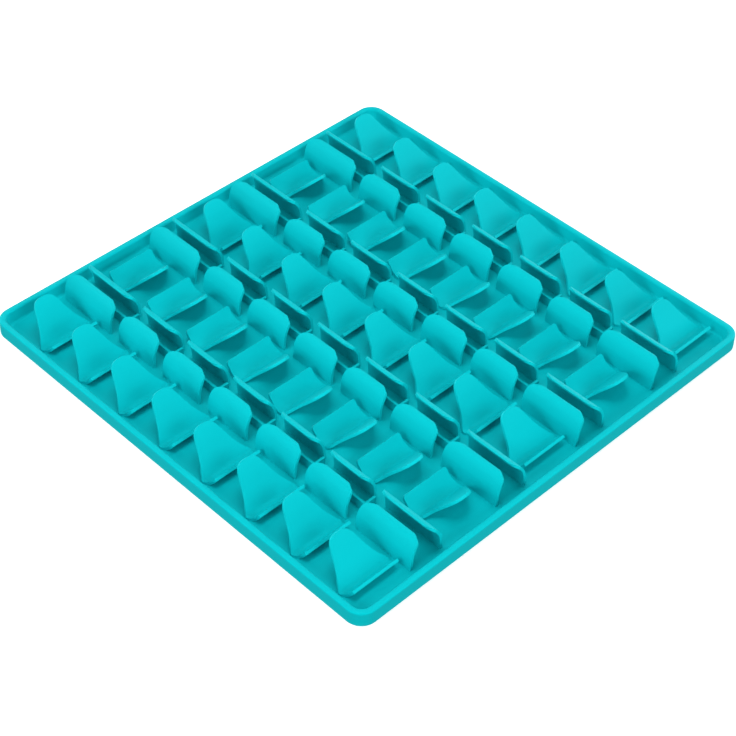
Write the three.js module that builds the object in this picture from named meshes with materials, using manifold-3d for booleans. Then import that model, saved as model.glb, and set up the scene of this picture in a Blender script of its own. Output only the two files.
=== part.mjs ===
// Square lick mat, moulded in one piece from silicone rubber.
// A shallow tray carries five lanes of scoops and, between them, four channels walled by curling leaves.
// Millimetres, +Z up. Lanes and channels run along X, and the origin is under the middle of the tray.
import * as THREE from 'three';
import { mergeVertices } from 'three/addons/utils/BufferGeometryUtils.js';
import Module from 'manifold-3d';

// Tray
const SIDE = 250; // outer side of the square
const CORNER_RADIUS = 8.3; // outer corners in plan
const RIM_HEIGHT = 7.8; // over the surface that the mat lies on
const RIM_WIDTH = 3.1; // at the top of the rim
const RIM_DRAFT = 1.4; // how much wider the rim is where it meets the floor
const RIM_EDGE = 0.9; // rounding of the rim's two top edges
const FLOOR = 1.5; // thickness of the tray's floor
const CORNER_STEPS = 6; // facets round each corner
const WELD = 1e-4; // points closer than this are one

// Lanes and channels
const LANE_PITCH = 52.1; // from lane to lane, across the mat
const FIRST_LANE = 20.4; // middle of the first lane, from the mat's front edge
const LANE_HALF = 16.4; // from a lane's middle to the outer face of the leaves beside it
const LANE_FORMS = ['tongue', 'spoon', 'tongue', 'spoon', 'tongue'];

// Scoops
const SHEET = 1.4; // thickness of every flap
const SCOOP_COUNT = 8; // in each lane
const SCOOP_PITCH = 28.74;
const FIRST_TONGUE_ROOT = 29.8; // from the mat's left edge to the first root
const FIRST_SPOON_ROOT = 19.2;

// Leaves
const LEAF_COUNT = 7; // on each side of a channel
const LEAF_PITCH = 32; // of the five middle leaves
const LEAF_LENGTH = 25.5; // of the five middle leaves
const FIRST_LEAF_END = 42.1; // +X end of the first leaf, from the mat's left edge
const FIRST_LEAF_START = 7.8; // -X end of the first leaf, from the mat's left edge
const LAST_LEAF_END = 241.6; // +X end of the last leaf, from the mat's left edge

// Low ribs in the channels, one at each gap between leaves
const RIB_HEIGHT = 5.2; // over the floor
const RIB_THICKNESS = 1.4;
const RIB_LENGTH = 12;
const RIB_ARM = 6; // cross wall at the rib's +X end

// Sections of a tongue scoop from its raised tip, over the root, to its front lip.
// run is along X from the root, rise is over the floor, half is half the width and shift is towards +Y.
const TONGUE = [
  { run: -16.85, rise: 15.05, half: 1.2, shift: 0 },
  { run: -16.6, rise: 14.8, half: 3.0, shift: 0 },
  { run: -16.0, rise: 14.2, half: 4.5, shift: 0 },
  { run: -15.0, rise: 13.3, half: 5.6, shift: 0 },
  { run: -12.6, rise: 11.0, half: 6.9, shift: 0 },
  { run: -9.2, rise: 7.9, half: 8.4, shift: 0 },
  { run: -5.6, rise: 4.7, half: 10.4, shift: 0 },
  { run: -2.6, rise: 2.0, half: 12.9, shift: 0 },
  { run: -0.8, rise: 0.7, half: 14.2, shift: 0 },
  { run: 1.6, rise: 0.6, half: 13.3, shift: 0.3 },
  { run: 3.6, rise: 2.0, half: 13.0, shift: 1.0 },
  { run: 5.2, rise: 4.3, half: 13.0, shift: 1.6 },
];

// Sections of a spoon scoop from its straight back edge, over the root, to the tip that leans forward.
const SPOON = [
  { run: -7.0, rise: 5.9, half: 12.2, shift: 0.8 },
  { run: -6.5, rise: 5.4, half: 12.9, shift: 0.7 },
  { run: -4.4, rise: 3.4, half: 13.0, shift: 0.4 },
  { run: -2.0, rise: 1.7, half: 13.3, shift: 0.2 },
  { run: 0.4, rise: 0.75, half: 13.6, shift: 0.2 },
  { run: 2.6, rise: 0.6, half: 13.6, shift: 0.2 },
  { run: 4.3, rise: 1.2, half: 12.9, shift: 0.7 },
  { run: 5.9, rise: 2.6, half: 10.8, shift: 2.5 },
  { run: 7.5, rise: 4.2, half: 9.3, shift: 3.1 },
  { run: 9.1, rise: 5.8, half: 8.1, shift: 3.3 },
  { run: 10.7, rise: 7.4, half: 7.1, shift: 3.3 },
  { run: 12.2, rise: 9.0, half: 6.1, shift: 3.3 },
  { run: 13.5, rise: 10.3, half: 4.7, shift: 3.3 },
  { run: 14.3, rise: 11.1, half: 2.8, shift: 3.3 },
  { run: 14.6, rise: 11.4, half: 1.2, shift: 3.3 },
];

// Sections of a leaf from its foot, sunk in the floor, to the free edge of its curled top.
// lean is how far the section hangs in over the channel, and near and far are the trims at the -X and +X ends.
const LEAF = [
  { lean: 0.0, rise: -0.8, near: 0.0, far: 0.0 },
  { lean: 0.3, rise: 4.0, near: 0.0, far: 0.0 },
  { lean: 0.7, rise: 7.5, near: 0.0, far: 0.0 },
  { lean: 1.3, rise: 9.3, near: 0.05, far: 0.0 },
  { lean: 2.1, rise: 11.0, near: 0.25, far: 0.05 },
  { lean: 2.85, rise: 12.2, near: 0.65, far: 0.2 },
  { lean: 3.65, rise: 13.1, near: 1.3, far: 0.5 },
  { lean: 4.45, rise: 13.7, near: 2.4, far: 1.3 },
  { lean: 5.15, rise: 14.0, near: 4.0, far: 2.5 },
  { lean: 5.7, rise: 14.05, near: 5.6, far: 3.8 },
  { lean: 5.95, rise: 14.0, near: 7.2, far: 5.0 },
];

const wasm = await Module();
wasm.setup();

function toSolid(geometry) {
  geometry.deleteAttribute('normal');
  geometry.deleteAttribute('uv');
  const merged = mergeVertices(geometry, WELD);
  return new wasm.Manifold(new wasm.Mesh({
    numProp: 3,
    vertProperties: new Float32Array(merged.attributes.position.array),
    triVerts: new Uint32Array(merged.index.array),
  }));
}

function toGeometry(solid) {
  const mesh = solid.getMesh();
  const geometry = new THREE.BufferGeometry();
  geometry.setAttribute('position', new THREE.BufferAttribute(mesh.vertProperties, 3));
  geometry.setIndex(new THREE.BufferAttribute(mesh.triVerts, 1));
  geometry.computeVertexNormals();
  return geometry;
}

function indexedGeometry(points, triangles) {
  const geometry = new THREE.BufferGeometry();
  geometry.setFromPoints(points);
  geometry.setIndex(triangles);
  return geometry;
}

// A closed sheet of the given thickness about a grid of points, with rows along its run.
function sheetGeometry(grid, thickness) {
  const rows = grid.length;
  const columns = grid[0].length;
  const upper = [];
  const lower = [];
  grid.forEach((row, i) => row.forEach((point, j) => {
    const before = grid[Math.max(i - 1, 0)][j];
    const after = grid[Math.min(i + 1, rows - 1)][j];
    const along = after.clone().sub(before);
    const across = row[columns - 1].clone().sub(row[0]);
    const normal = along.cross(across).normalize().multiplyScalar(thickness / 2);
    upper.push(point.clone().add(normal));
    lower.push(point.clone().sub(normal));
  }));
  const top = (i, j) => i * columns + j;
  const bottom = (i, j) => rows * columns + i * columns + j;
  const triangles = [];
  const quad = (a, b, c, d) => triangles.push(a, b, c, a, c, d);
  for (let i = 0; i + 1 < rows; i += 1) {
    for (let j = 0; j + 1 < columns; j += 1) {
      quad(top(i, j), top(i + 1, j), top(i + 1, j + 1), top(i, j + 1));
      quad(bottom(i, j), bottom(i, j + 1), bottom(i + 1, j + 1), bottom(i + 1, j));
    }
    const last = columns - 1;
    quad(top(i, 0), bottom(i, 0), bottom(i + 1, 0), top(i + 1, 0));
    quad(top(i, last), top(i + 1, last), bottom(i + 1, last), bottom(i, last));
  }
  for (let j = 0; j + 1 < columns; j += 1) {
    const last = rows - 1;
    quad(top(0, j), top(0, j + 1), bottom(0, j + 1), bottom(0, j));
    quad(top(last, j), bottom(last, j), bottom(last, j + 1), top(last, j + 1));
  }
  return indexedGeometry([...upper, ...lower], triangles);
}

// The tray's outline in plan, drawn in from its outer edge by an inset.
function trayOutline(inset) {
  const half = SIDE / 2 - inset;
  const radius = CORNER_RADIUS - inset;
  const centre = half - radius;
  const points = [];
  for (let corner = 0; corner < 4; corner += 1) {
    for (let step = 0; step <= CORNER_STEPS; step += 1) {
      const angle = (corner + step / CORNER_STEPS) * Math.PI / 2;
      const turn = (corner + 0.5) * Math.PI / 2;
      points.push(new THREE.Vector2(
        Math.sign(Math.cos(turn)) * centre + radius * Math.cos(angle),
        Math.sign(Math.sin(turn)) * centre + radius * Math.sin(angle),
      ));
    }
  }
  return points;
}

// The tray as rings of its outline, from the underside over the rim and down to the floor.
function trayGeometry() {
  const soft = RIM_EDGE * (1 - Math.SQRT1_2);
  const rings = [
    { inset: 0, z: 0 },
    { inset: 0, z: RIM_HEIGHT - RIM_EDGE },
    { inset: soft, z: RIM_HEIGHT - soft },
    { inset: RIM_EDGE, z: RIM_HEIGHT },
    { inset: RIM_WIDTH - RIM_EDGE, z: RIM_HEIGHT },
    { inset: RIM_WIDTH - soft, z: RIM_HEIGHT - soft },
    { inset: RIM_WIDTH, z: RIM_HEIGHT - RIM_EDGE },
    { inset: RIM_WIDTH + RIM_DRAFT, z: FLOOR },
  ];
  const points = rings.flatMap(({ inset, z }) => (
    trayOutline(inset).map((p) => new THREE.Vector3(p.x, p.y, z))
  ));
  const count = points.length / rings.length;
  const triangles = [];
  for (let ring = 0; ring + 1 < rings.length; ring += 1) {
    for (let k = 0; k < count; k += 1) {
      const a = ring * count + k;
      const b = ring * count + (k + 1) % count;
      triangles.push(a, b, b + count, a, b + count, a + count);
    }
  }
  const floorRing = (rings.length - 1) * count;
  for (let k = 1; k + 1 < count; k += 1) {
    triangles.push(0, k + 1, k);
    triangles.push(floorRing, floorRing + k, floorRing + k + 1);
  }
  return indexedGeometry(points, triangles);
}

// A scoop rises from its root both ways along X: to a low straight edge and to a high round tip.
function scoopGeometry(sections) {
  const grid = sections.map(({ run, rise, half, shift }) => [
    new THREE.Vector3(run, shift - half, FLOOR + rise),
    new THREE.Vector3(run, shift + half, FLOOR + rise),
  ]);
  return sheetGeometry(grid, SHEET);
}

// An upright leaf along X whose outer face stands on y = 0 and whose top curls to the given side, 1 or -1.
function leafGeometry(length, side) {
  const grid = LEAF.map(({ lean, rise, near, far }) => {
    const y = side * (SHEET / 2 + lean);
    return [
      new THREE.Vector3(near, y, FLOOR + rise),
      new THREE.Vector3(length - far, y, FLOOR + rise),
    ];
  });
  return sheetGeometry(grid, SHEET);
}

// The leaves' two ends along X, from the mat's left edge.
function leafSpans() {
  const spans = [{ start: FIRST_LEAF_START, end: FIRST_LEAF_END }];
  for (let i = 1; i < LEAF_COUNT - 1; i += 1) {
    const end = FIRST_LEAF_END + i * LEAF_PITCH;
    spans.push({ start: end - LEAF_LENGTH, end });
  }
  const lastStart = FIRST_LEAF_END + (LEAF_COUNT - 1) * LEAF_PITCH - LEAF_LENGTH;
  spans.push({ start: lastStart, end: LAST_LEAF_END });
  return spans;
}

// A low rib along X and the cross wall at its end, seated in the floor.
function ribGeometries() {
  const height = RIB_HEIGHT + FLOOR / 2;
  const middle = FLOOR / 2 + height / 2;
  const rib = new THREE.BoxGeometry(RIB_LENGTH, RIB_THICKNESS, height);
  rib.translate(-RIB_LENGTH / 2, 0, middle);
  const arm = new THREE.BoxGeometry(RIB_THICKNESS, RIB_ARM, height);
  arm.translate(-RIB_THICKNESS / 2, RIB_ARM / 2, middle);
  return [rib, arm];
}

function matSolid() {
  let mat = toSolid(trayGeometry());
  const left = -SIDE / 2;
  const front = -SIDE / 2;
  const place = (geometry, x, y) => {
    mat = mat.add(toSolid(geometry.translate(x, y, 0)));
  };
  const laneMiddle = (lane) => front + FIRST_LANE + lane * LANE_PITCH;

  LANE_FORMS.forEach((form, lane) => {
    for (let i = 0; i < SCOOP_COUNT; i += 1) {
      const sections = form === 'tongue' ? TONGUE : SPOON;
      const root = form === 'tongue' ? FIRST_TONGUE_ROOT : FIRST_SPOON_ROOT;
      place(scoopGeometry(sections), left + root + i * SCOOP_PITCH, laneMiddle(lane));
    }
  });

  const spans = leafSpans();
  for (let channel = 0; channel + 1 < LANE_FORMS.length; channel += 1) {
    const frontFoot = laneMiddle(channel) + LANE_HALF;
    const backFoot = laneMiddle(channel + 1) - LANE_HALF;
    spans.forEach(({ start, end }, i) => {
      place(leafGeometry(end - start, 1), left + start, frontFoot);
      place(leafGeometry(end - start, -1), left + start, backFoot);
      if (i + 1 < spans.length) {
        const gapMiddle = (end + spans[i + 1].start) / 2;
        for (const wall of ribGeometries()) {
          place(wall, left + gapMiddle, (frontFoot + backFoot) / 2);
        }
      }
    });
  }
  return mat;
}

const silicone = new THREE.MeshStandardMaterial({ color: 0x02c4cc, roughness: 0.5, metalness: 0 });
const mat = new THREE.Mesh(toGeometry(matSolid()), silicone);
mat.name = 'mat';

const lickMat = new THREE.Group();
lickMat.add(mat);

export default lickMat;
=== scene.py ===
# %% [markdown]
# # A silicone lick mat
# A lick mat is moulded in one shot of silicone rubber: a square tray with a low rim, and thin flaps
# that stand up from its floor and hold soft food. This lesson models the tray and each kind of flap
# once, copies the flaps along their rows, and gives everything one satin rubber finish.

# %% Load the frame
import math

import bmesh
import bpy
from mathutils import Matrix, Vector


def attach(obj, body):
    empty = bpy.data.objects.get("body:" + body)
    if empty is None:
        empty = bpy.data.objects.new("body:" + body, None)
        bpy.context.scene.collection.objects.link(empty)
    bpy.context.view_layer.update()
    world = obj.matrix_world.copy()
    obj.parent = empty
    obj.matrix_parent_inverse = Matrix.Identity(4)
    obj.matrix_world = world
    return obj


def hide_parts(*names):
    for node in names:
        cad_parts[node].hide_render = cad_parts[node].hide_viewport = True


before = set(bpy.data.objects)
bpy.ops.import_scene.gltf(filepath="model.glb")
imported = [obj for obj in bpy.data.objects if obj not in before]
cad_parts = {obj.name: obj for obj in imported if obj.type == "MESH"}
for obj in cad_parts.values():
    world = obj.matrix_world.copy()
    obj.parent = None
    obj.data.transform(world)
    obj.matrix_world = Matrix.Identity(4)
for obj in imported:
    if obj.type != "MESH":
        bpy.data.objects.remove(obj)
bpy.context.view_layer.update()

# %% [markdown]
# ## Small helpers
# All sizes below are written in millimetres and turned into metres where they are used. Points are
# selected by their place, as a modeller would box select them. Every form is known from a few
# measured rows, and a smooth curve through them gives the rows in between.

# %% Helpers for selecting, smoothing and finishing
MM = 0.001
TOUCH = 0.01
ROW_STEPS = 3
CREASE_ANGLE = math.radians(30)
SMOOTH_ANGLE = math.radians(40)
BEVEL_ANGLE = math.radians(50)


def pick(piece, test):
    """Selects the points whose place, in millimetres, passes the test."""
    bpy.ops.mesh.select_all(action="DESELECT")
    mesh = bmesh.from_edit_mesh(piece.data)
    for point in mesh.verts:
        if test(point.co / MM):
            point.select_set(True)
    mesh.select_flush_mode()
    bmesh.update_edit_mesh(piece.data)


def smooth_rows(table):
    """Fills in rows between the measured ones, along a smooth curve through them."""
    rows = [Vector(row) for row in table]
    gaps = [(b - a).length for a, b in zip(rows, rows[1:])]
    runs = [(b - a) / gap for a, b, gap in zip(rows, rows[1:], gaps)]
    slopes = [runs[0]]
    for k in range(1, len(runs)):
        slopes.append((runs[k - 1] * gaps[k] + runs[k] * gaps[k - 1]) / (gaps[k - 1] + gaps[k]))
    slopes.append(runs[-1])
    filled = []
    for k, gap in enumerate(gaps):
        for step in range(ROW_STEPS):
            t = step / ROW_STEPS
            s = 1 - t
            near = rows[k] * s * s * (1 + 2 * t) + slopes[k] * gap * t * s * s
            far = rows[k + 1] * t * t * (1 + 2 * s) - slopes[k + 1] * gap * t * t * s
            filled.append(near + far)
    filled.append(rows[-1])
    return filled


def use_modifier(piece, kind, **settings):
    """Adds a modifier to the active piece, sets it and applies it."""
    bpy.ops.object.modifier_add(type=kind)
    modifier = piece.modifiers[-1]
    for name, value in settings.items():
        setattr(modifier, name, value)
    bpy.ops.object.modifier_apply(modifier=modifier.name)


def take(piece):
    """Makes a piece the only selected and the active one."""
    bpy.ops.object.select_all(action="DESELECT")
    piece.select_set(True)
    bpy.context.view_layer.objects.active = piece


def copy_to(piece, place):
    """Copies a piece with its own mesh and moves the copy to a place in millimetres."""
    take(piece)
    bpy.ops.object.duplicate()
    bpy.ops.transform.translate(value=Vector(place) * MM)
    bpy.ops.object.transform_apply(location=True)
    return bpy.context.object


def throw_away(piece):
    """Deletes a pattern piece once all its copies are made."""
    take(piece)
    bpy.ops.object.delete()


def join_pieces(pieces, name):
    """Joins copies into one piece."""
    take(pieces[0])
    for piece in pieces[1:]:
        piece.select_set(True)
    bpy.ops.object.join()
    pieces[0].name = name
    return pieces[0]


# %% [markdown]
# ## The tray
# The tray is a shallow square pan. It starts as a cube: the four upright edges are rounded, the top
# face is inset by the rim's width and pressed down to the floor, a little smaller so that the inside
# of the rim leans back and the mat comes out of its mould.

# %% Shape the tray
SIDE = 250
CORNER_RADIUS = 8.3
CORNER_STEPS = 12
RIM_HEIGHT = 7.8
RIM_WIDTH = 3.1
RIM_DRAFT = 1.4
RIM_EDGE = 0.9
BASE_EDGE = 0.3
EDGE_STEPS = 4
FLOOR = 1.5
FLOOR_FILLET = 1.2

bpy.ops.object.select_all(action="DESELECT")
bpy.ops.mesh.primitive_cube_add(
    size=MM, location=(0, 0, RIM_HEIGHT / 2 * MM), scale=(SIDE, SIDE, RIM_HEIGHT)
)
tray = bpy.context.object
tray.name = "tray"
bpy.ops.object.transform_apply(location=True, scale=True)
bpy.ops.object.mode_set(mode="EDIT")
bpy.ops.mesh.select_mode(type="EDGE")
upright = bmesh.from_edit_mesh(tray.data)
for edge in upright.edges:
    a, b = edge.verts
    edge.select_set(abs(a.co.z - b.co.z) > MM)
bmesh.update_edit_mesh(tray.data)
bpy.ops.mesh.bevel(offset=CORNER_RADIUS * MM, segments=CORNER_STEPS, affect="EDGES")
bpy.ops.mesh.select_mode(type="VERT")
pick(tray, lambda p: p.z > RIM_HEIGHT - TOUCH)
bpy.ops.mesh.inset(thickness=RIM_WIDTH * MM)
inside = SIDE - 2 * RIM_WIDTH
pressed = (0, 0, (FLOOR - RIM_HEIGHT) * MM)
bpy.ops.mesh.extrude_region_move(TRANSFORM_OT_translate={"value": pressed})
shrink = (inside - 2 * RIM_DRAFT) / inside
bpy.ops.transform.resize(value=(shrink, shrink, 1), center_override=(0, 0, FLOOR * MM))


def pick_level(piece, level):
    """Selects the edges that lie at one height."""
    bpy.ops.mesh.select_mode(type="EDGE")
    bpy.ops.mesh.select_all(action="DESELECT")
    mesh = bmesh.from_edit_mesh(piece.data)
    for edge in mesh.edges:
        if len(edge.link_faces) == 2 and edge.calc_face_angle() > CREASE_ANGLE:
            heights = [abs(point.co.z / MM - level) for point in edge.verts]
            edge.select_set(max(heights) < TOUCH)
    bmesh.update_edit_mesh(piece.data)


for level, radius in ((RIM_HEIGHT, RIM_EDGE), (FLOOR, FLOOR_FILLET), (0, BASE_EDGE)):
    pick_level(tray, level)
    bpy.ops.mesh.bevel(offset=radius * MM, segments=EDGE_STEPS, affect="EDGES")
bpy.ops.object.mode_set(mode="OBJECT")
print("tray:", len(tray.data.polygons), "faces")

# %% [markdown]
# ## Drawing a flap
# Each flap is a thin sheet. A grid is cut down to one line of points, and the line is pulled row by
# row along the flap, growing or shrinking as the flap does. The sheet then gets its thickness and
# soft rounded edges, as the moulded rubber has. The faces round its edge are marked for a painted
# highlight: they are painted paler, standing in for light that thin rubber lets through there.

# %% Draw a sheet and give it thickness
SHEET = 1.4
SHEET_EDGE = 0.3
SHEET_EDGE_STEPS = 3
LONG_X, LONG_Y = 0, 1


def draw_sheet(name, rows, columns, along):
    """Pulls a line of points through rows, each the place of its middle and its width."""
    bpy.ops.object.select_all(action="DESELECT")
    counts = (columns, 1) if along == LONG_X else (1, columns)
    bpy.ops.mesh.primitive_grid_add(x_subdivisions=counts[0], y_subdivisions=counts[1], size=MM)
    piece = bpy.context.object
    piece.name = name
    bpy.ops.object.mode_set(mode="EDIT")
    bpy.ops.mesh.select_mode(type="VERT")
    pick(piece, lambda p: p[1 - along] > 0)
    bpy.ops.mesh.delete(type="VERT")
    bpy.ops.mesh.select_all(action="SELECT")
    start = Vector((0, 0, 0))
    start[1 - along] = -0.5
    place, width = start, 1
    for number, (middle, wide) in enumerate(rows):
        move = {"value": (middle - place) * MM}
        if number == 0:
            bpy.ops.transform.translate(**move)
        else:
            bpy.ops.mesh.extrude_region_move(TRANSFORM_OT_translate=move)
        growth = [1, 1, 1]
        growth[along] = wide / width
        bpy.ops.transform.resize(value=growth, center_override=middle * MM)
        place, width = middle, wide
    bpy.ops.object.mode_set(mode="OBJECT")
    return piece


def thicken(piece):
    """Turns a sheet into rubber of even thickness with rounded edges, and marks those edges for a
    painted highlight.
    """
    take(piece)
    # one empty slot for the sheet's faces and one for the rim that joins them
    for slot in range(2):
        piece.data.materials.append(None)
    use_modifier(
        piece,
        "SOLIDIFY",
        thickness=SHEET * MM,
        offset=0,
        use_quality_normals=True,
        material_offset_rim=1,
    )
    bpy.ops.object.mode_set(mode="EDIT")
    bpy.ops.mesh.select_all(action="SELECT")
    bpy.ops.mesh.normals_make_consistent(inside=False)
    bpy.ops.object.mode_set(mode="OBJECT")
    use_modifier(
        piece,
        "BEVEL",
        width=SHEET_EDGE * MM,
        segments=SHEET_EDGE_STEPS,
        limit_method="ANGLE",
        angle_limit=BEVEL_ANGLE,
    )
    # the edge faces are marked for the painted highlight, a paler colour standing in for light through
    # thin rubber
    highlight_mask = piece.data.attributes.new("painted_edge_highlight", "FLOAT", "FACE")
    for face in piece.data.polygons:
        highlight_mask.data[face.index].value = face.material_index
        face.material_index = 0
    piece.data.materials.clear()


# %% [markdown]
# ## The tongues
# A tongue leans back like a ramp to a round tip, is widest where it meets the floor and turns up again
# in a short straight lip, which sits a little to the far side. One tongue is shaped, and copies of it
# fill three lanes.

# %% Shape one tongue and copy it along its lanes
LANE_PITCH = 52.1
FIRST_LANE = 20.4
SCOOP_COUNT = 8
SCOOP_COLUMNS = 10
SCOOP_PITCH = 28.74
FIRST_TONGUE_ROOT = 29.8
# run along the lane, rise of the sheet's middle over the floor, half of its width, shift to the side
TONGUE = (
    (-16.85, 15.05, 1.2, 0), (-16.6, 14.8, 3, 0), (-16, 14.2, 4.5, 0), (-15, 13.3, 5.6, 0),
    (-12.6, 11, 6.9, 0), (-9.2, 7.9, 8.4, 0), (-5.6, 4.7, 10.4, 0), (-2.6, 2, 12.9, 0),
    (-0.8, 0.7, 14.2, 0), (1.6, 0.6, 13.3, 0.3), (3.6, 2, 13, 1), (5.2, 4.3, 13, 1.6),
)


def lane_middle(number):
    """Gives the place of a lane's middle along Y."""
    return -SIDE / 2 + FIRST_LANE + number * LANE_PITCH


def fill_lanes(name, table, first_root, lanes):
    """Shapes one scoop from its rows and copies it along the lanes."""
    rows = []
    for run, rise, half, shift in smooth_rows(table):
        rows.append((Vector((run, shift, FLOOR + rise)), 2 * half))
    pattern = draw_sheet(name, rows, SCOOP_COLUMNS, LONG_Y)
    thicken(pattern)
    scoops = []
    for lane in lanes:
        for number in range(SCOOP_COUNT):
            x = -SIDE / 2 + first_root + number * SCOOP_PITCH
            scoops.append(copy_to(pattern, (x, lane_middle(lane), 0)))
    throw_away(pattern)
    scoops = join_pieces(scoops, name)
    print(name, "have", len(scoops.data.polygons), "faces")
    return scoops


tongues = fill_lanes("tongues", TONGUE, FIRST_TONGUE_ROOT, (0, 2, 4))

# %% [markdown]
# ## The spoons
# The two lanes in between have spoons, which face the other way. A spoon's back is a wide ramp with a
# straight edge, and its front is a shorter tongue that leans forward, its tip a little off the middle.

# %% Shape one spoon and copy it along its lanes
FIRST_SPOON_ROOT = 19.2
SPOON = (
    (-7, 5.9, 12.2, 0.8), (-6.5, 5.4, 12.9, 0.7), (-4.4, 3.4, 13, 0.4), (-2, 1.7, 13.3, 0.2),
    (0.4, 0.75, 13.6, 0.2), (2.6, 0.6, 13.6, 0.2), (4.3, 1.2, 12.9, 0.7), (5.9, 2.6, 10.8, 2.5),
    (7.5, 4.2, 9.3, 3.1), (9.1, 5.8, 8.1, 3.3), (10.7, 7.4, 7.1, 3.3), (12.2, 9, 6.1, 3.3),
    (13.5, 10.3, 4.7, 3.3), (14.3, 11.1, 2.8, 3.3), (14.6, 11.4, 1.2, 3.3),
)
spoons = fill_lanes("spoons", SPOON, FIRST_SPOON_ROOT, (1, 3))

# %% [markdown]
# ## The leaves
# Between the lanes run channels. Each is walled by two rows of leaves that stand straight, then curl
# over until only a slit is left between them. The leaves' two top corners are rounded unevenly.

# %% Shape one leaf and copy it along the channels
LANE_HALF = 16.4
LEAF_COUNT = 7
LEAF_COLUMNS = 8
LEAF_PITCH = 32
LEAF_LENGTH = 25.5
FIRST_LEAF_START = 7.8
FIRST_LEAF_END = 42.1
LAST_LEAF_END = 241.6
CHANNEL_COUNT = 4
# lean, rise of the sheet's middle over the floor, trim at the near and at the far end
LEAF = (
    (0, -0.8, 0, 0), (0.3, 4, 0, 0), (0.7, 7.5, 0, 0), (1.3, 9.3, 0.05, 0), (2.1, 11, 0.25, 0.05),
    (2.85, 12.2, 0.65, 0.2), (3.65, 13.1, 1.3, 0.5), (4.45, 13.7, 2.4, 1.3), (5.15, 14, 4, 2.5),
    (5.7, 14.05, 5.6, 3.8), (5.95, 14, 7.2, 5),
)


def draw_leaf(name, length):
    """Draws a leaf of a given length that stands at the origin and curls to +Y."""
    rows = []
    for lean, rise, near, far in smooth_rows(LEAF):
        middle = Vector(((near + length - far) / 2, SHEET / 2 + lean, FLOOR + rise))
        rows.append((middle, length - near - far))
    leaf = draw_sheet(name, rows, LEAF_COLUMNS, LONG_X)
    thicken(leaf)
    return leaf


def mirror_leaf(leaf):
    """Copies a leaf as its mirror image that curls to -Y."""
    back = copy_to(leaf, (0, 0, 0))
    bpy.ops.object.mode_set(mode="EDIT")
    bpy.ops.mesh.select_all(action="SELECT")
    bpy.ops.transform.resize(value=(1, -1, 1), center_override=(0, 0, 0))
    bpy.ops.mesh.normals_make_consistent(inside=False)
    bpy.ops.object.mode_set(mode="OBJECT")
    return back


spans = [(FIRST_LEAF_START, FIRST_LEAF_END)]
for number in range(1, LEAF_COUNT):
    end = FIRST_LEAF_END + number * LEAF_PITCH
    spans.append((end - LEAF_LENGTH, end))
spans[-1] = (spans[-1][0], LAST_LEAF_END)
leaves = []
patterns = {}
for start, end in spans:
    length = round(end - start, 2)
    if length not in patterns:
        front = draw_leaf("leaf", length)
        patterns[length] = (front, mirror_leaf(front))
    front, back = patterns[length]
    for channel in range(CHANNEL_COUNT):
        x = -SIDE / 2 + start
        leaves.append(copy_to(front, (x, lane_middle(channel) + LANE_HALF, 0)))
        leaves.append(copy_to(back, (x, lane_middle(channel + 1) - LANE_HALF, 0)))
for front, back in patterns.values():
    throw_away(front)
    throw_away(back)
leaves = join_pieces(leaves, "leaves")
print("leaves:", len(leaves.data.polygons), "faces")

# %% [markdown]
# ## The cross walls
# Low walls stand across each gap between the leaves and stop the food from sliding along the channel.
# Each is a thin bar with a short arm at one end.

# %% Shape one cross wall and copy it
RIB_HEIGHT = 5.2
RIB_THICKNESS = 1.4
RIB_LENGTH = 12
RIB_ARM = 6
RIB_EDGE = 0.25
RIB_EDGE_STEPS = 2

bpy.ops.object.select_all(action="DESELECT")
bottom = FLOOR / 2
top = FLOOR + RIB_HEIGHT
bpy.ops.mesh.primitive_cube_add(
    size=MM,
    location=(-RIB_LENGTH / 2 * MM, 0, (bottom + top) / 2 * MM),
    scale=(RIB_LENGTH, RIB_THICKNESS, top - bottom),
)
wall = bpy.context.object
wall.name = "cross_wall"
bpy.ops.object.transform_apply(location=True, scale=True)
bpy.ops.object.mode_set(mode="EDIT")
bpy.ops.mesh.select_all(action="SELECT")
bpy.ops.mesh.bisect(plane_co=(-RIB_THICKNESS * MM, 0, 0), plane_no=(1, 0, 0))
bpy.ops.mesh.select_mode(type="VERT")
pick(wall, lambda p: p.x > -RIB_THICKNESS - TOUCH and p.y > 0)
arm = (0, (RIB_ARM - RIB_THICKNESS / 2) * MM, 0)
bpy.ops.mesh.extrude_region_move(TRANSFORM_OT_translate={"value": arm})
bpy.ops.object.mode_set(mode="OBJECT")
use_modifier(
    wall,
    "BEVEL",
    width=RIB_EDGE * MM,
    segments=RIB_EDGE_STEPS,
    limit_method="ANGLE",
    angle_limit=BEVEL_ANGLE,
)
walls = []
for channel in range(CHANNEL_COUNT):
    y = (lane_middle(channel) + lane_middle(channel + 1)) / 2
    for number in range(LEAF_COUNT - 1):
        end = FIRST_LEAF_END + number * LEAF_PITCH
        x = -SIDE / 2 + end + (LEAF_PITCH - LEAF_LENGTH) / 2
        walls.append(copy_to(wall, (x, y, 0)))
throw_away(wall)
walls = join_pieces(walls, "cross_walls")
print("cross walls:", len(walls.data.polygons), "faces")

# %% [markdown]
# ## Satin silicone
# Moulded silicone is smooth but not glossy, so it has only a faint sheen of its own colour. The colour
# drifts very slightly across the mat, and a painted highlight makes it paler on the marked thin edges,
# standing in for light that comes through thin rubber. The roughness varies a little where the mould
# was polished, and a fine grain breaks up the sheen.

# %% Make the rubber
SILICONE = (0.001, 0.50, 0.55, 1)
SILICONE_DEEP = (0.001, 0.475, 0.525, 1)
# painted highlight: the paler colour painted on the thin edges
SILICONE_EDGE_HIGHLIGHT = (0.002, 0.54, 0.59, 1)
SHEEN = 0.12
SHEEN_TINT = (0.1, 0.9, 1, 1)
SMOOTHEST, ROUGHEST = 0.5, 0.6
DRIFT_SCALE = 22
DRIFT_DETAIL = 3
GRAIN_SCALE = 1800
GRAIN_DETAIL = 2
GRAIN_DEPTH = 0.05
GRAIN_STRENGTH = 0.06

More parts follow.
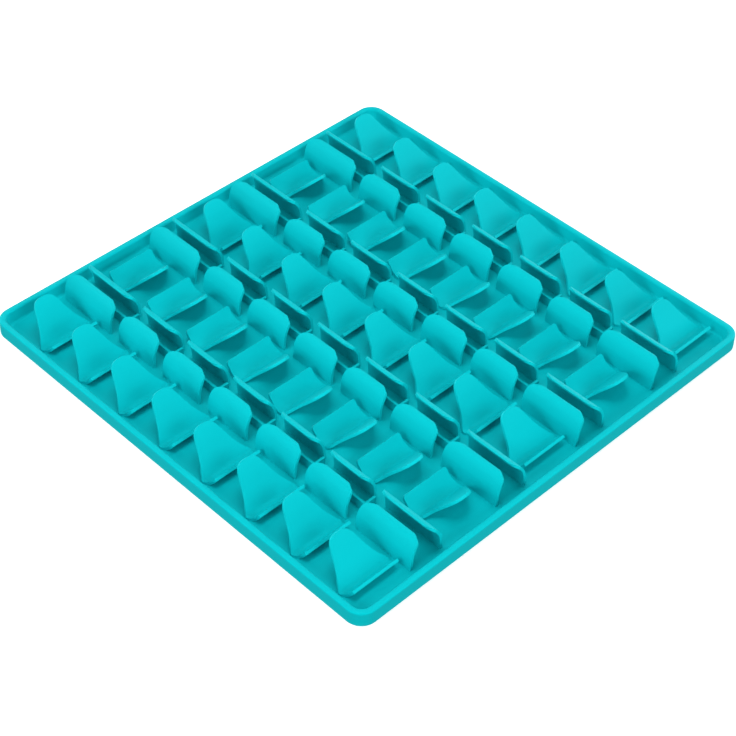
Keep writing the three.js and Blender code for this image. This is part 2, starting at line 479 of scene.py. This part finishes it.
rubber = bpy.data.materials.new("silicone")
rubber.use_nodes = True
nodes, links = rubber.node_tree.nodes, rubber.node_tree.links
shader = nodes["Principled BSDF"]
shader.inputs["Specular IOR Level"].default_value = SHEEN
shader.inputs["Specular Tint"].default_value = SHEEN_TINT
where = nodes.new("ShaderNodeTexCoord")
drift = nodes.new("ShaderNodeTexNoise")
drift.inputs["Scale"].default_value = DRIFT_SCALE
drift.inputs["Detail"].default_value = DRIFT_DETAIL
links.new(where.outputs["Object"], drift.inputs["Vector"])
tint = nodes.new("ShaderNodeMix")
tint.data_type = "RGBA"
tint.inputs["A"].default_value = SILICONE_DEEP
tint.inputs["B"].default_value = SILICONE
links.new(drift.outputs["Fac"], tint.inputs["Factor"])
# the painted highlight: the marked edge faces get the paler colour
highlight_mask = nodes.new("ShaderNodeAttribute")
highlight_mask.attribute_name = "painted_edge_highlight"
painted_highlight = nodes.new("ShaderNodeMix")
painted_highlight.data_type = "RGBA"
painted_highlight.inputs["B"].default_value = SILICONE_EDGE_HIGHLIGHT
links.new(highlight_mask.outputs["Fac"], painted_highlight.inputs["Factor"])
links.new(tint.outputs["Result"], painted_highlight.inputs["A"])
links.new(painted_highlight.outputs["Result"], shader.inputs["Base Color"])
sheen = nodes.new("ShaderNodeMapRange")
sheen.inputs["To Min"].default_value = SMOOTHEST
sheen.inputs["To Max"].default_value = ROUGHEST
links.new(drift.outputs["Fac"], sheen.inputs["Value"])
links.new(sheen.outputs["Result"], shader.inputs["Roughness"])
grain = nodes.new("ShaderNodeTexNoise")
grain.inputs["Scale"].default_value = GRAIN_SCALE
grain.inputs["Detail"].default_value = GRAIN_DETAIL
links.new(where.outputs["Object"], grain.inputs["Vector"])
bump = nodes.new("ShaderNodeBump")
bump.inputs["Strength"].default_value = GRAIN_STRENGTH
bump.inputs["Distance"].default_value = GRAIN_DEPTH * MM
links.new(grain.outputs["Fac"], bump.inputs["Height"])
links.new(bump.outputs["Normal"], shader.inputs["Normal"])

for piece in (tray, tongues, spoons, leaves, walls):
    take(piece)
    bpy.ops.object.shade_smooth_by_angle(angle=SMOOTH_ANGLE)
    use_modifier(piece, "WEIGHTED_NORMAL", keep_sharp=True)
    piece.data.materials.clear()
    piece.data.materials.append(rubber)
    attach(piece, "root")
    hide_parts("mat")
    triangles = sum(len(face.vertices) - 2 for face in piece.data.polygons)
    print(piece.name, "has", triangles, "triangles")

# %% [markdown]
# ## White studio
# The mat lies on a white sheet, with soft panels low and high on all four sides and three more above.
# The sheet glows a little, so that it stays white right up to the mat. None of its light is thrown
# back at the rubber, which keeps the outer walls and the space under the lips dark. The camera stands
# where the photographer stood.

# %% Set the floor, the light and the camera
SHEET_SIDE = 60
PAPER = (0.9, 0.9, 0.9, 1)
PAPER_ROUGHNESS = 0.9
WHITE = (1, 1, 1, 1)
PAPER_GLOW = 0.4
ROOM_LIGHT = 0.28

bpy.ops.object.select_all(action="DESELECT")
bpy.ops.mesh.primitive_plane_add(size=SHEET_SIDE)
sheet = bpy.context.object
sheet.name = "white_sheet"
white = bpy.data.materials.new("white_sheet")
white.use_nodes = True
paper = white.node_tree.nodes["Principled BSDF"]
paper.inputs["Base Color"].default_value = PAPER
paper.inputs["Roughness"].default_value = PAPER_ROUGHNESS
paper.inputs["Emission Color"].default_value = WHITE
paper.inputs["Emission Strength"].default_value = PAPER_GLOW
white.cycles.emission_sampling = "NONE"
sheet.data.materials.append(white)
sheet.visible_diffuse = False
sheet.visible_glossy = False

world = bpy.data.worlds.new("studio")
bpy.context.scene.world = world
world.use_nodes = True
room = world.node_tree.nodes["Background"]
room.inputs["Color"].default_value = WHITE
room.inputs["Strength"].default_value = ROOM_LIGHT

# name, place, width and height in metres, power in watts
LAMPS = (
    ("right_low", (1.01, 0, 0.14), 0.8, 0.3, 2.1),
    ("back_low", (0, 1.01, 0.14), 0.8, 0.3, 5),
    ("left_low", (-1.01, 0, 0.14), 0.8, 0.3, 3.4),
    ("front_low", (0, -1.01, 0.14), 0.8, 0.3, 2.1),
    ("right_high", (0.89, 0, 0.5), 0.8, 0.3, 3.9),
    ("back_high", (0, 0.89, 0.5), 0.8, 0.3, 1.4),
    ("left_high", (-0.89, 0, 0.5), 0.8, 0.3, 1),
    ("front_high", (0, -0.89, 0.5), 0.8, 0.3, 4.1),
    ("overhead_back", (-0.14, 0.24, 0.86), 0.3, 0.3, 1),
    ("overhead_front", (-0.14, -0.24, 0.86), 0.3, 0.3, 1.1),
    ("overhead", (0, 0, 0.9), 0.3, 0.3, 1.35),
)
for name, place, width, height, power in LAMPS:
    bpy.ops.object.light_add(type="AREA", location=place)
    lamp = bpy.context.object
    lamp.name = name
    lamp.data.shape = "RECTANGLE"
    lamp.data.size = width
    lamp.data.size_y = height
    lamp.data.energy = power
    lamp.rotation_euler = (-Vector(place)).to_track_quat("-Z", "Y").to_euler()

CAMERA_PLACE = Vector((462.4, -461.1, 607.5)) * MM
CAMERA_AIM = Vector((15.7, -14.6, 0)) * MM
CAMERA_ROLL = math.radians(1.131)
CAMERA_LENS = 92.15
CAMERA_SENSOR = 36
bpy.ops.object.camera_add(location=CAMERA_PLACE)
camera = bpy.context.object
camera.data.lens = CAMERA_LENS
camera.data.sensor_width = CAMERA_SENSOR
turn = (CAMERA_AIM - CAMERA_PLACE).to_track_quat("-Z", "Y").to_matrix()
camera.rotation_euler = (turn @ Matrix.Rotation(CAMERA_ROLL, 3, "Z")).to_euler()
bpy.context.scene.camera = camera
bpy.context.scene.view_settings.view_transform = "Standard"
